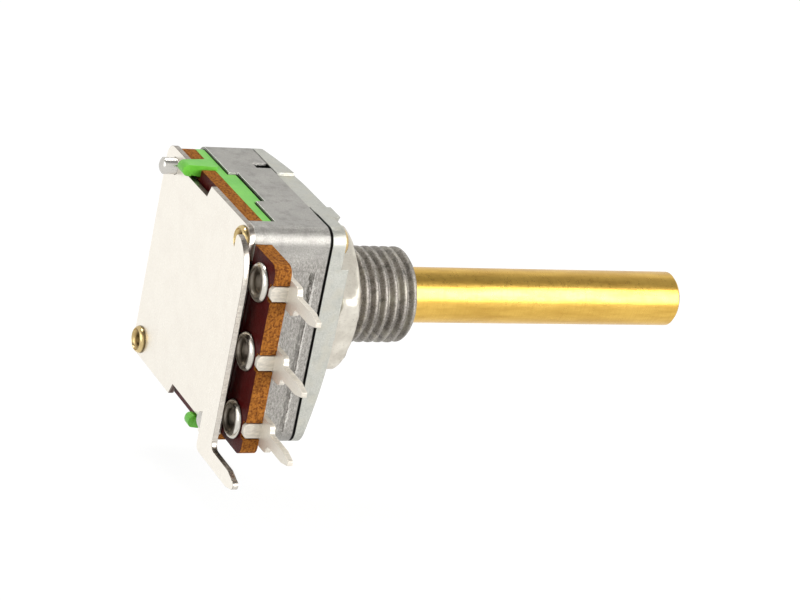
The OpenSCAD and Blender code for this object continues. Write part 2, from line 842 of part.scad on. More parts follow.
front_flange();
body_casting();
insulating_spacer();
terminal_board();
resistive_track();
collector_ring();
terminal(0);  // terminal_upper
terminal(1);  // terminal_middle
terminal(2);  // terminal_lower
terminal_eyelet(0);  // terminal_eyelet_upper
terminal_eyelet(1);  // terminal_eyelet_middle
terminal_eyelet(2);  // terminal_eyelet_lower
rear_plate();
corner_eyelet(1);  // corner_eyelet_upper
corner_eyelet(-1);  // corner_eyelet_lower
corner_pin(1);  // corner_pin_upper
corner_pin(-1);  // corner_pin_lower
mounting_nut();
thrust_washer();
shaft();
retaining_clip();
rotor();
contact_spring();
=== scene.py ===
import math

import bmesh
import bpy
from mathutils import Matrix, Vector


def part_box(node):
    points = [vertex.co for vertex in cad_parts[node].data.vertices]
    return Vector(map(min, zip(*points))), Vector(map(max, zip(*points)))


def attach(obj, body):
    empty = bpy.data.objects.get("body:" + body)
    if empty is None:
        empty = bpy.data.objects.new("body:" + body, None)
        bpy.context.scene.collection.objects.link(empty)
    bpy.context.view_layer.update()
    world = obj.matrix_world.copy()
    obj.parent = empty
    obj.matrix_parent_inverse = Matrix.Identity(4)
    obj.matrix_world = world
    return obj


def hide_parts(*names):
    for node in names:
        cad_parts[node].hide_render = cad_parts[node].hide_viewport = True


# Looks of a rotary potentiometer: its CAD nodes, pieces that replace some of them, and a studio
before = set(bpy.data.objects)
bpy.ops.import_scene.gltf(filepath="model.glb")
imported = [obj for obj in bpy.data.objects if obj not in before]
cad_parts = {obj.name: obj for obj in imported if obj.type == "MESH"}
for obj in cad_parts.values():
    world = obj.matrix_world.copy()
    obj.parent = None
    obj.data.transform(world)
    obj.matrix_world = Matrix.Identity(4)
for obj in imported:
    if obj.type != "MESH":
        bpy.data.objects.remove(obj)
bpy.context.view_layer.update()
scene = bpy.context.scene
scene.view_settings.view_transform = "Standard"
MM = 0.001


def corners(node):
    """The lowest and the highest corner of a CAD node, in millimetres."""
    low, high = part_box(node)
    return low / MM, high / MM


def middle(node):
    low, high = corners(node)
    return (low + high) / 2


# Places that the frame gives, in millimetres
HALF = corners("body_casting")[1].z
FLANGE_BACK, MOUTH_X = (corner.x for corner in corners("front_flange"))
BOARD_BACK = corners("terminal_board")[0].x
STRIP_BACK = corners("rear_plate")[0].x
NUT_BACK, NUT_FRONT = (corner.x for corner in corners("mounting_nut"))
CORNER_RIVET = middle("corner_eyelet_upper").z
ROW_Y = middle("terminal_eyelet_middle").y
ROW_Z = middle("terminal_eyelet_middle").z
PITCH = middle("terminal_eyelet_upper").z - ROW_Z

# Sizes of the case and the rear cover, in millimetres
CORNER_R = 1.1
SEAM = 0.08
BODY_FRONT = FLANGE_BACK - SEAM
SHEET = 0.4
PLATE_BACK = BOARD_BACK - SHEET

# The drawn groove on the side that carries the terminals
CAD_GROOVE_X = -3.035
GROOVE_X = -2.65
GROOVE_HALF_W = 0.13
GROOVE_LOW, GROOVE_HIGH = -6.6, 4.9
GROOVE_DEPTH = 0.05

# The painted shade of the seam, a black streak, starts at the first Y and is full from the second on
SEAM_FADE = (-4.2, -5.0)

# The colour of painted shade in dark gaps, and the finished materials by name
BLACK = (0.008, 0.008, 0.007)
MATS = {}


def shade(color, factor):
    return tuple(factor * channel for channel in color)


# Helpers for node trees
class Nodes:
    """Adds nodes to a tree and links them. A value is an output socket or a constant."""

    def __init__(self, tree):
        self.tree = tree

    def link(self, source, target):
        self.tree.links.new(source, target)

    def feed(self, value, socket):
        if hasattr(value, "links"):
            self.link(value, socket)
        else:
            socket.default_value = value

    def add(self, kind, **values):
        node = self.tree.nodes.new(kind)
        for key, value in values.items():
            setattr(node, key, value)
        return node

    def math(self, operation, *values):
        node = self.add("ShaderNodeMath", operation=operation)
        for socket, value in zip(node.inputs, values):
            self.feed(value, socket)
        return node.outputs["Value"]

    def times(self, a, b):
        return self.math("MULTIPLY", a, b)

    def highest(self, *values):
        result = values[0]
        for value in values[1:]:
            result = self.math("MAXIMUM", result, value)
        return result

    def length(self, a, b):
        return self.math("SQRT", self.math("ADD", self.times(a, a), self.times(b, b)))

    def split(self, vector):
        node = self.add("ShaderNodeSeparateXYZ")
        self.link(vector, node.inputs[0])
        return node.outputs

    def choose(self, fac, first, second):
        """The first shader where fac is zero and the second where it is one."""
        node = self.add("ShaderNodeMixShader")
        for socket, value in zip(node.inputs, (fac, first, second)):
            self.link(value, socket)
        return node.outputs[0]


class Surface(Nodes):
    """One procedural material on the principled shader, with noises laid out in millimetres."""

    def __init__(self, name):
        self.name = name
        self.mat = bpy.data.materials.new(name)
        self.mat.use_nodes = True
        super().__init__(self.mat.node_tree)
        self.shader = self.tree.nodes["Principled BSDF"]
        coords = self.add("ShaderNodeTexCoord")
        scaled = self.add("ShaderNodeVectorMath", operation="SCALE")
        scaled.inputs["Scale"].default_value = 1 / MM
        self.link(coords.outputs["Object"], scaled.inputs[0])
        self.mm = scaled.outputs["Vector"]
        self.normal = coords.outputs["Normal"]
        self.bumped = None

    def place(self, axes):
        """The coordinates that the letters name, in millimetres."""
        parts = self.split(self.mm)
        return [parts[axis] for axis in axes]

    def facing(self):
        """The surface's own direction along X, Y and Z."""
        return self.split(self.normal)

    def stretched(self, x, y, z):
        node = self.add("ShaderNodeVectorMath", operation="MULTIPLY")
        self.link(self.mm, node.inputs[0])
        node.inputs[1].default_value = (x, y, z)
        return node.outputs["Vector"]

    def noise(self, scale, detail=3, rough=0.55, vector=None):
        node = self.add("ShaderNodeTexNoise")
        node.inputs["Scale"].default_value = scale
        node.inputs["Detail"].default_value = detail
        node.inputs["Roughness"].default_value = rough
        self.link(vector or self.mm, node.inputs["Vector"])
        return node.outputs["Fac"]

    def ramp(self, value, low, high, out_low=0.0, out_high=1.0):
        node = self.add("ShaderNodeMapRange")
        for socket, number in zip(node.inputs[1:5], (low, high, out_low, out_high)):
            socket.default_value = number
        self.link(value, node.inputs["Value"])
        return node.outputs["Result"]

    def band(self, value, low, high, soft):
        """One between low and high, and nothing outside, with soft ends."""
        up = self.ramp(value, low - soft, low + soft)
        down = self.ramp(value, high + soft, high - soft)
        return self.times(up, down)

    def mix(self, fac, a, b):
        node = self.add("ShaderNodeMix", data_type="RGBA")
        self.feed(fac, node.inputs[0])
        for socket, value in zip(node.inputs[6:8], (a, b)):
            self.feed(value if hasattr(value, "links") else (*value, 1), socket)
        return node.outputs[2]

    def bump(self, height, depth_mm):
        node = self.add("ShaderNodeBump")
        node.inputs["Strength"].default_value = 1.0
        node.inputs["Distance"].default_value = depth_mm * MM
        self.link(height, node.inputs["Height"])
        if self.bumped is not None:
            self.link(self.bumped, node.inputs["Normal"])
        self.bumped = node.outputs["Normal"]
        self.link(self.bumped, self.shader.inputs["Normal"])

    def below_skin(self):
        """Depth below the case's square outline with round corners, seen along X."""
        y, z = self.place("YZ")
        qy = self.math("SUBTRACT", self.math("ABSOLUTE", y), HALF - CORNER_R)
        qz = self.math("SUBTRACT", self.math("ABSOLUTE", z), HALF - CORNER_R)
        out = self.length(self.highest(qy, 0.0), self.highest(qz, 0.0))
        inner = self.math("MINIMUM", self.highest(qy, qz), 0.0)
        return self.math("SUBTRACT", CORNER_R, self.math("ADD", out, inner))

    def done(self, color, rough, **constants):
        """Finishes the material and keeps it under its name."""
        self.link(color, self.shader.inputs["Base Color"])
        self.link(rough, self.shader.inputs["Roughness"])
        for key, value in constants.items():
            self.shader.inputs[key.replace("_", " ")].default_value = value
        MATS[self.name] = self.mat


# Materials
def groove_marks(n, tone, fine):
    """The drawn groove as a ragged streak of painted shade, with a painted highlight along its front edge.
    """
    x, y, z = n.place("XYZ")
    ragged = n.noise(1.0, 4, 0.8, n.stretched(5, 5, 2.2))
    wander = n.math("ADD", x, n.ramp(ragged, 0.3, 0.7, -0.16, 0.16))
    on_side = n.ramp(y, 0.4 - HALF, 0.2 - HALF)
    # Painted shade: the groove's ragged dark streak, stronger higher up and uneven with the grain.
    across = n.band(wander, GROOVE_X - GROOVE_HALF_W, GROOVE_X + GROOVE_HALF_W, 0.05)
    groove_shade = n.times(across, n.band(z, GROOVE_LOW, GROOVE_HIGH, 0.2))
    groove_shade = n.times(groove_shade, n.ramp(z, 1.5, 3.0, 0.55, 0.95))
    groove_shade = n.times(groove_shade, on_side)
    groove_shade = n.times(groove_shade, n.ramp(fine, 0.4, 0.52, 0.45, 1.0))
    tone = n.mix(groove_shade, tone, (0.05, 0.045, 0.035))
    # Painted highlight: a pale streak on the lip in front of the groove.
    across = n.band(wander, GROOVE_X + 0.22, GROOVE_X + 0.3, 0.05)
    lip_highlight = n.times(across, n.band(z, GROOVE_LOW, GROOVE_HIGH - 0.5, 0.2))
    lip_highlight = n.times(lip_highlight, on_side)
    return n.mix(n.times(lip_highlight, 0.6), tone, (0.85, 0.82, 0.77))


def body_zinc(name, light, dark, rough):
    """The die-cast body: coarse grain, a rough drawn side, painted highlights on its rear rounded edges,
    and painted black shade in its gaps and slot and along its join with the flange.
    """
    n = Surface(name)
    x, y, z = n.place("XYZ")
    fine = n.noise(9, 4, 0.75)
    large = n.noise(0.55, 2)
    patches = n.noise(1.3, 3, 0.6)
    drawn = n.noise(1.0, 4, 0.75, n.stretched(7, 7, 3.2))
    side = n.times(n.ramp(y, 0.15 - HALF, 0.03 - HALF), n.band(z, -7.2, 5.9, 0.5))
    tone = n.mix(n.ramp(fine, 0.35, 0.65), dark, light)
    tone = n.mix(n.ramp(large, 0.35, 0.65, 0, 0.45), tone, dark)
    tone = n.mix(n.ramp(patches, 0.5, 0.68, 0, 0.5), tone, shade(dark, 0.72))
    rough_side = n.mix(n.ramp(drawn, 0.36, 0.66), (0.16, 0.15, 0.135), (0.50, 0.475, 0.44))
    tone = n.mix(n.times(side, 0.7), tone, rough_side)
    tone = groove_marks(n, tone, fine)
    # Painted highlight: near-white on the rounded edges that turn from the front or back faces to the
    # sides, on the rear part of the body.
    rim_highlight = n.band(n.math("ABSOLUTE", n.facing()[0]), 0.25, 0.9, 0.1)
    tone = n.mix(n.times(rim_highlight, n.ramp(x, -4.2, -4.5)), tone, (1.0, 0.99, 0.95))
    # Painted shade: black on faces below the outer skin, in the slot and gaps, and a black streak at the
    # seam on the near side.
    deep_shade = n.ramp(n.below_skin(), 0.14, 0.2)
    seam_shade = n.times(n.ramp(x, BODY_FRONT - 0.09, BODY_FRONT - 0.05), n.ramp(y, *SEAM_FADE))
    tone = n.mix(n.highest(deep_shade, seam_shade), tone, BLACK)
    n.bump(fine, 0.03)
    n.bump(n.times(drawn, side), 0.07)
    n.done(tone, n.ramp(fine, 0.3, 0.7, rough - 0.08, rough + 0.1), Metallic=0.85)


def cast_zinc(name, light, dark, rough, grain, stain=0.9, gap=False):
    """Die-cast zinc with fine grain, darker stains and a few warm patches, and with gap, painted black
    shade on the flange's faces inside its outline at its back and at its join with the body.
    """
    n = Surface(name)
    fine = n.noise(9, 4, 0.7)
    large = n.noise(0.55, 2)
    tone = n.mix(n.ramp(fine, 0.35, 0.65), dark, light)
    tone = n.mix(n.ramp(large, 0.3, 0.7, 0, 0.35), tone, dark)
    tone = n.mix(n.ramp(n.noise(1.6, 4, 0.7), 0.5, 0.68, 0, 0.6), tone, shade(dark, stain))
    tone = n.mix(n.ramp(n.noise(0.9, 2, 0.5), 0.5, 0.65, 0, 0.35), tone, (0.50, 0.47, 0.38))
    # Painted shade: black on the flange's faces that lie inside its outline at its back, and a black streak
    # at the seam on the near side.
    if gap:
        x, y = n.place("XY")
        inside = n.ramp(x, FLANGE_BACK + 0.13, FLANGE_BACK + 0.06)
        deep_shade = n.times(n.ramp(n.below_skin(), 0.03, 0.1), inside)
        seam_shade = n.times(n.ramp(x, FLANGE_BACK + 0.09, FLANGE_BACK + 0.05), n.ramp(y, *SEAM_FADE))
        tone = n.mix(n.highest(deep_shade, seam_shade), tone, BLACK)
    n.bump(n.noise(14, 4, 0.7), grain)
    n.bump(large, 0.05)
    n.done(tone, n.ramp(fine, 0.3, 0.7, rough - 0.06, rough + 0.08), Metallic=0.85)


def plated(name, light, dark, rough, spot=0.25):
    """Smooth plating or plain sheet, with faint clouds and spots."""
    n = Surface(name)
    large = n.noise(0.8, 3)
    fine = n.noise(7, 4, 0.65)
    tone = n.mix(n.ramp(large, 0.35, 0.7, 0, spot), light, dark)
    tone = n.mix(n.ramp(fine, 0.58, 0.72, 0, spot), tone, dark)
    n.bump(fine, 0.002)
    n.done(tone, n.ramp(large, 0.3, 0.7, rough - 0.04, rough + 0.06), Metallic=1.0)


def from_corner_rivet(n, y, z):
    """Distance from the axis of the nearest corner rivet."""
    dy = n.math("SUBTRACT", n.math("ABSOLUTE", y), CORNER_RIVET)
    dz = n.math("SUBTRACT", n.math("ABSOLUTE", z), CORNER_RIVET)
    return n.length(dy, dz)


def from_row_rivet(n, y, z):
    """Distance from the axis of the nearest rivet in the terminals' row."""
    dy = n.math("SUBTRACT", y, ROW_Y)
    within = n.math("FLOORED_MODULO", n.math("ADD", z, PITCH / 2 - ROW_Z), PITCH)
    return n.length(dy, n.math("SUBTRACT", within, PITCH / 2))


def rolled(name, light, dark, rough, away_from, bore, rim, hollow_shade, seat):
    """A rolled eyelet: bright on its ring, with painted shade and more roughness in its dish, and painted
    shade in its bore and round its foot.
    """
    n = Surface(name)
    x, y, z = n.place("XYZ")
    away = away_from(n, y, z)
    large = n.noise(1.2, 3)
    tone = n.mix(n.ramp(large, 0.35, 0.7, 0, 0.5), light, dark)
    # Painted shade in the dish inside the rim, which is also rougher.
    dish = n.ramp(away, rim + 0.08, rim - 0.08)
    tone = n.mix(n.times(dish, 0.75), tone, shade(dark, 0.75))
    # Painted shade in the bore.
    tone = n.mix(n.ramp(away, bore + 0.16, bore - 0.02), tone, shade(dark, hollow_shade))
    # Painted shade round the foot, where the eyelet meets the sheet or the board.
    foot = n.times(n.band(x, seat - 0.1, seat + 0.4, 0.05), n.ramp(away, bore + 0.2, bore + 0.3))
    tone = n.mix(n.times(foot, 0.85), tone, shade(dark, 0.15))
    n.bump(n.noise(6, 3), 0.006)
    polish = n.ramp(large, 0.3, 0.7, rough - 0.04, rough + 0.06)
    n.done(tone, n.math("MULTIPLY_ADD", dish, 0.2, polish), Metallic=1.0)


def sheet_metal(name, light, dark, edge, rough, sheared=1.0, metallic=1.0):
    """Plated sheet: mottled faces, darker streaked marks on the rounded edges, painted light and shade on
    the cut edges by their facing, and painted shade at the lower notch.
    """
    n = Surface(name)
    x, z = n.place("XZ")
    facing = n.facing()
    tilt = n.math("ABSOLUTE", facing[0])
    corner = n.ramp(tilt, 0.998, 0.9)
    side = n.ramp(tilt, 0.35, 0.05)
    streaks = n.noise(1.0, 3, 0.7, n.stretched(2.2, 7, 7))
    fine = n.noise(8, 4, 0.7)
    large = n.noise(0.7, 3)
    tone = n.mix(n.ramp(fine, 0.42, 0.72, 0, 0.35), light, dark)
    tone = n.mix(n.ramp(large, 0.4, 0.7, 0, 0.22), tone, dark)
    # Darker streaked tone on the rounded edges.
    cut = n.mix(n.ramp(streaks, 0.35, 0.65), edge, shade(edge, 3.5))
    tone = n.mix(n.times(corner, n.ramp(streaks, 0.3, 0.6, 0.7 * sheared, sheared)), tone, cut)
    # Painted light and shade by facing: cut edges that face up take the darker tone, and those that face
    # sideways take the paler one.
    pale = n.mix(n.ramp(streaks, 0.35, 0.65), shade(dark, 0.78), shade(light, 0.9))
    upper = n.mix(n.ramp(streaks, 0.3, 0.75), shade(edge, 1.6), shade(dark, 0.7))
    sawn = n.mix(n.ramp(facing[2], 0.3, 0.7, 0, 0.9 * sheared), pale, upper)
    tone = n.mix(n.times(side, 0.85 * sheared), tone, sawn)
    # Painted shade: the plate's cut faces round its lower notch are near black.
    notch = n.times(n.ramp(z, -6.85, -7.0), n.ramp(x, PLATE_BACK - 0.02, PLATE_BACK + 0.01))
    tone = n.mix(n.times(notch, side), tone, (0.09, 0.055, 0.045))
    n.bump(fine, 0.003)
    n.bump(large, 0.01)
    n.done(tone, n.ramp(fine, 0.3, 0.7, rough - 0.05, rough + 0.08), Metallic=metallic)


def drawn_brass(name, light, dark, rough):
    """Bright rod: faint lines round it, and longer stains along it."""
    n = Surface(name)
    cut = n.noise(1.0, 3, 0.7, n.stretched(9, 0.3, 0.3))
    along = n.noise(1.0, 4, 0.6, n.stretched(0.25, 1.6, 1.6))
    spots = n.noise(2.2, 4, 0.7)
    tone = n.mix(n.ramp(along, 0.38, 0.68, 0, 0.75), light, dark)
    tone = n.mix(n.ramp(cut, 0.45, 0.75, 0, 0.3), tone, dark)
    tone = n.mix(n.ramp(spots, 0.56, 0.75, 0, 0.35), tone, dark)
    n.bump(cut, 0.002)
    n.bump(along, 0.01)
    n.done(tone, n.ramp(spots, 0.3, 0.7, rough - 0.03, rough + 0.07), Metallic=1.0)


def moulded(name, light, dark, rough):
    """Moulded plastic or ink, nearly even in tone."""
    n = Surface(name)
    fine = n.noise(12, 3, 0.6)
    tone = n.mix(n.ramp(n.noise(0.6, 3), 0.35, 0.65), light, dark)
    n.bump(fine, 0.004)
    n.bump(n.noise(1.2, 2), 0.02)
    n.done(tone, n.ramp(fine, 0.3, 0.7, rough - 0.05, rough + 0.08), Specular_IOR_Level=0.5)


def laminate(name):
    """Paper laminate: dark smooth faces and sawn edges that show the layers."""
    n = Surface(name)
    face = n.ramp(n.math("ABSOLUTE", n.facing()[0]), 0.55, 0.8)
    layers = n.noise(1.0, 3, 0.6, n.stretched(7, 1.6, 1.6))
    specks = n.noise(5.5, 4, 0.75)
    edge = n.mix(n.ramp(layers, 0.35, 0.65), (0.23, 0.08, 0.013), (0.38, 0.145, 0.024))
    edge = n.mix(n.ramp(specks, 0.46, 0.6, 0, 0.9), edge, (0.09, 0.025, 0.007))
    sheet = n.mix(n.ramp(n.noise(2.5, 3), 0.35, 0.7), (0.05, 0.002, 0.002), (0.075, 0.005, 0.005))
    n.bump(specks, 0.02)
    n.done(n.mix(face, edge, sheet), n.ramp(face, 0, 1, 0.75, 0.3), Specular_IOR_Level=0.07)


cast_zinc("flange_zinc", (0.55, 0.55, 0.50), (0.40, 0.40, 0.365), 0.4, grain=0.02, gap=True)
cast_zinc("bushing_zinc", (0.50, 0.465, 0.42), (0.15, 0.135, 0.12), 0.40, grain=0.035, stain=0.3)
body_zinc("body_zinc", (0.455, 0.44, 0.41), (0.27, 0.26, 0.24), 0.42)
moulded("green_plastic", (0.13, 0.47, 0.035), (0.09, 0.40, 0.025), 0.33)
laminate("laminate")
moulded("carbon_ink", (0.02, 0.02, 0.02), (0.012, 0.012, 0.012), 0.6)
plated("silver_ink", (0.5, 0.49, 0.45), (0.35, 0.34, 0.3), 0.5)
sheet_metal("terminal_plate", (0.80, 0.76, 0.68), (0.60, 0.56, 0.48), (0.22, 0.19, 0.15), 0.42,
            sheared=0.35, metallic=0.62)
sheet_metal("plate_nickel", (0.95, 0.905, 0.815), (0.80, 0.74, 0.66), (0.07, 0.055, 0.045), 0.3)
rolled("eyelet_nickel", (0.72, 0.69, 0.63), (0.36, 0.31, 0.25), 0.24, from_row_rivet,
       bore=0.65, rim=1.06, hollow_shade=0.6, seat=BOARD_BACK)
rolled("eyelet_brass", (0.72, 0.56, 0.28), (0.34, 0.21, 0.07), 0.22, from_corner_rivet,
       bore=0.475, rim=0.7, hollow_shade=0.22, seat=PLATE_BACK)
plated("pin_nickel", (0.62, 0.60, 0.56), (0.38, 0.36, 0.33), 0.25)
plated("nut_nickel", (0.78, 0.74, 0.65), (0.34, 0.30, 0.245), 0.33, spot=0.55)
plated("washer_bronze", (0.6, 0.38, 0.15), (0.4, 0.24, 0.08), 0.35)
drawn_brass("shaft_brass", (0.76, 0.485, 0.105), (0.52, 0.30, 0.055), 0.28)
plated("clip_steel", (0.42, 0.41, 0.39), (0.25, 0.24, 0.22), 0.35)
moulded("rotor_resin", (0.05, 0.045, 0.04), (0.03, 0.027, 0.024), 0.5)
plated("spring_bronze", (0.62, 0.36, 0.14), (0.45, 0.25, 0.08), 0.3)

# The material of each CAD node, and the nodes whose edges are rounded, in millimetres
SLOT_OF = {
    "front_flange": "flange_zinc", "body_casting": "body_zinc", "insulating_spacer": "green_plastic",
    "terminal_board": "laminate", "resistive_track": "carbon_ink", "collector_ring": "silver_ink",
    "rear_plate": "plate_nickel", "mounting_nut": "nut_nickel", "thrust_washer": "washer_bronze",
    "shaft": "shaft_brass", "retaining_clip": "clip_steel", "rotor": "rotor_resin",
    "contact_spring": "spring_bronze",
}
EDGE_MM = {
    "front_flange": 0.12, "body_casting": 0.10, "insulating_spacer": 0.07, "terminal_board": 0.03,
    "rear_plate": 0.07, "mounting_nut": 0.10,
}
for place in ("upper", "middle", "lower"):
    SLOT_OF["terminal_" + place] = "terminal_plate"
    SLOT_OF["terminal_eyelet_" + place] = "eyelet_nickel"
    EDGE_MM["terminal_" + place] = 0.05
for place in ("upper", "lower"):
    SLOT_OF["corner_eyelet_" + place] = "eyelet_brass"
    SLOT_OF["corner_pin_" + place] = "pin_nickel"


# Mesh finish
MERGE_M = 2e-6
FLAT_DEG = 0.6
EDGE_DEG = 38


def join_flat_faces(obj):
    flat = obj.modifiers.new("Flat", "DECIMATE")
    flat.decimate_type = "DISSOLVE"
    flat.angle_limit = math.radians(FLAT_DEG)


def round_edges(obj, width_mm, segments, angle=EDGE_DEG):
    bevel = obj.modifiers.new("Edges", "BEVEL")
    bevel.width = width_mm * MM
    bevel.segments = segments
    bevel.limit_method = "ANGLE"
    bevel.angle_limit = math.radians(angle)
    bevel.use_clamp_overlap = True


def shade_smooth(obj):
    normals = obj.modifiers.new("Normals", "WEIGHTED_NORMAL")
    normals.keep_sharp = False
    for polygon in obj.data.polygons:
        polygon.use_smooth = True


def dress(name):
    """Gives a CAD node its material, soft edges and clean shading."""
    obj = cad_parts[name]
    obj.data.materials.clear()
    obj.data.materials.append(MATS[SLOT_OF[name]])
    weld = obj.modifiers.new("Weld", "WELD")
    weld.merge_threshold = MERGE_M
    if name in EDGE_MM:
        join_flat_faces(obj)
        round_edges(obj, EDGE_MM[name], segments=2)
    shade_smooth(obj)


for node_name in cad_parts:
    dress(node_name)


# Pieces of the scene that stand for CAD nodes, all on the housing
def piece_from(bm, name, node, bevel=0.0, angle=EDGE_DEG, flat=False, material=None):
    """Turns a bmesh into a piece that rides the housing and replaces a node."""
    mesh = bpy.data.meshes.new(name)
    bm.normal_update()
    bm.to_mesh(mesh)
    bm.free()
    for left_over in ("custom_normal", "sharp_edge", "sharp_face"):
        if left_over in mesh.attributes:
            mesh.attributes.remove(mesh.attributes[left_over])
    obj = bpy.data.objects.new(name, mesh)
    scene.collection.objects.link(obj)
    mesh.materials.append(MATS[material or SLOT_OF[node]])
    if flat:
        join_flat_faces(obj)
    if bevel:
        round_edges(obj, bevel, segments=3, angle=angle)
    shade_smooth(obj)
    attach(obj, "housing")
    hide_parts(node)


def node_bmesh(node):
    bm = bmesh.new()
    bm.from_mesh(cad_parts[node].data)
    bmesh.ops.remove_doubles(bm, verts=bm.verts, dist=MERGE_M)
    return bm


def places_of(bm):
    """Each vertex with its X, Y and Z in millimetres."""
    return [(vert, *(coordinate / MM for coordinate in vert.co)) for vert in bm.verts]


def cut_off(bm, x, toward):
    """Takes away all that lies past a station of X, toward +1 or -1."""
    everything = list(bm.verts) + list(bm.edges) + list(bm.faces)
    bmesh.ops.bisect_plane(bm, geom=everything, plane_co=(x * MM, 0, 0), plane_no=(toward, 0, 0),
                           clear_outer=True)
    bmesh.ops.dissolve_limit(bm, angle_limit=math.radians(0.5), verts=bm.verts, edges=bm.edges)


def ring(x, radii):
    """Points evenly round the X axis, one at each of the radii."""
    points = []
    for j, radius in enumerate(radii):
        angle = 2 * math.pi * j / len(radii)
        points.append((x, radius * math.cos(angle), radius * math.sin(angle)))
    return points


def skin(bm, rings):
    """Joins closed rings of points, each of the same length, into one skin."""
    rows = [[bm.verts.new([c * MM for c in point]) for point in points] for points in rings]
    for a, b in zip(rows, rows[1:]):
        for i in range(len(a)):
            j = (i + 1) % len(a)
            bm.faces.new((a[i], a[j], b[j], b[i]))


# The thread, in millimetres
THREAD_PITCH = 0.75
CREST_R, ROOT_R = 3.43, 3.02
CORE_R = 3.2
THREAD_START = 2.95
BUSHING_FOOT_X = 0.5
CASTING_END_X = 1.0
MOUTH_ROUND_R = 0.5
ROWS_A_TURN = 24
POINTS_AROUND = 96

# The crest's share of half a turn, and how far the flanks would run past the root
CREST_SHARE = 0.16
ROOT_REACH = 1.08


def thread_radius(phase):
    """One turn of the thread: a narrow crest, two flanks and a rounded root."""
    rise = abs(phase % 1.0 - 0.5) * 2
    if rise < CREST_SHARE:
        return CREST_R
    depth = min(1.0, (rise - CREST_SHARE) / (1 - CREST_SHARE) * ROOT_REACH)
    return CREST_R - (CREST_R - ROOT_R) * (0.5 - 0.5 * math.cos(math.pi * depth))


def bushing_radius(x, turn):
    """The thread's radius, held back at the rounded mouth and at the thread's start."""
    radius = thread_radius((x - THREAD_START) / THREAD_PITCH - turn)
    back = MOUTH_X - x
    if back < MOUTH_ROUND_R:
        sunk = math.sqrt(max(0.0, MOUTH_ROUND_R ** 2 - (MOUTH_ROUND_R - back) ** 2))
        radius = min(radius, CREST_R - MOUTH_ROUND_R + sunk)
    if x - THREAD_START < 0.1:
        radius = min(radius, CORE_R + (x - THREAD_START) * 2)
    return radius


def threaded_bushing():
    """The bushing from inside the casting to its mouth, with a real helical thread."""
    length = MOUTH_X - THREAD_START
    rows = int(length / THREAD_PITCH * ROWS_A_TURN)
    rings = [ring(BUSHING_FOOT_X, [CORE_R] * POINTS_AROUND)]
    for i in range(rows + 1):
        x = THREAD_START + length * i / rows
        rings.append(ring(x, [bushing_radius(x, j / POINTS_AROUND) for j in range(POINTS_AROUND)]))
    mouth = ((0, 2.6), (0, 2.22), (0.14, 2.07), (0.6, 2.07), (0.6, 1.85))
    for depth, radius in mouth:
        rings.append(ring(MOUTH_X - depth, [radius] * POINTS_AROUND))
    bm = bmesh.new()
    skin(bm, rings)
    bmesh.ops.remove_doubles(bm, verts=bm.verts, dist=1e-6)
    bmesh.ops.dissolve_degenerate(bm, dist=1e-7, edges=bm.edges)
    bmesh.ops.recalc_face_normals(bm, faces=bm.faces)
    piece_from(bm, "threaded_bushing", "front_flange", material="bushing_zinc")


def flange_casting():
    """The flange and its seat, cut off inside the nut where the bushing goes on."""
    bm = node_bmesh("front_flange")
    cut_off(bm, CASTING_END_X, toward=1)
    piece_from(bm, "flange_casting", "front_flange", bevel=0.13)


def arc(cy, cz, radius, start, end, steps):
    angles = (math.radians(start + (end - start) * i / steps) for i in range(steps + 1))
    return [(cy + radius * math.cos(a), cz + radius * math.sin(a)) for a in angles]


def add_slab(bm, outline, x0, x1):
    """A closed slab between two stations of X, from an outline of (y, z) in millimetres."""
    low = [bm.verts.new((x0 * MM, y * MM, z * MM)) for y, z in outline]
    high = [bm.verts.new((x1 * MM, y * MM, z * MM)) for y, z in outline]
    made = [bm.faces.new(low), bm.faces.new(high[::-1])]
    for i in range(len(outline)):
        j = (i + 1) % len(outline)
        made.append(bm.faces.new((low[j], low[i], high[i], high[j])))
    bmesh.ops.recalc_face_normals(bm, faces=made)


def strip_outline():
    """The raised strip and its leg as (y, z), from the inner edge round to the foot."""
    inner_y, outer_y, leg_z = -7.9, -10.22, -6.5
    upper = [(inner_y, -7.75)] + arc(-8.25, 7.42, 0.36, 0, 85, 5)
    shoulder = [(-8.7, 7.66), (-9.2, 7.34), (-9.62, 6.9), (-9.93, 6.3), (-10.12, 5.5), (-10.2, 4.6)]
    bend = [(outer_y, leg_z)] + arc(outer_y - 0.5, leg_z, 0.5, 0, -90, 5)
    tip = [(-13.4, -7.0), (-14.2, -7.25)] + arc(-14.32, -7.6, 0.32, 75, 255, 7)
    foot = [(-13.5, -8.15), (-8.3, -8.15), (-8.02, -8.02)]
    return upper + shoulder + bend + tip + foot


def rear_plate():
    """The rear cover: its flat plate from the solid, with a wall and the strip behind it."""
    bm = node_bmesh("rear_plate")
    cut_off(bm, PLATE_BACK - 0.06, toward=-1)
    wall = [(-8.3, -6.9), (-7.92, -6.9), (-7.92, 5.74), (-8.3, 5.74)]
    add_slab(bm, wall, STRIP_BACK + 0.07, PLATE_BACK + 0.34)
    add_slab(bm, strip_outline(), STRIP_BACK, STRIP_BACK + SHEET)
    piece_from(bm, "rear_plate_sheet", "rear_plate", bevel=0.13, angle=30)


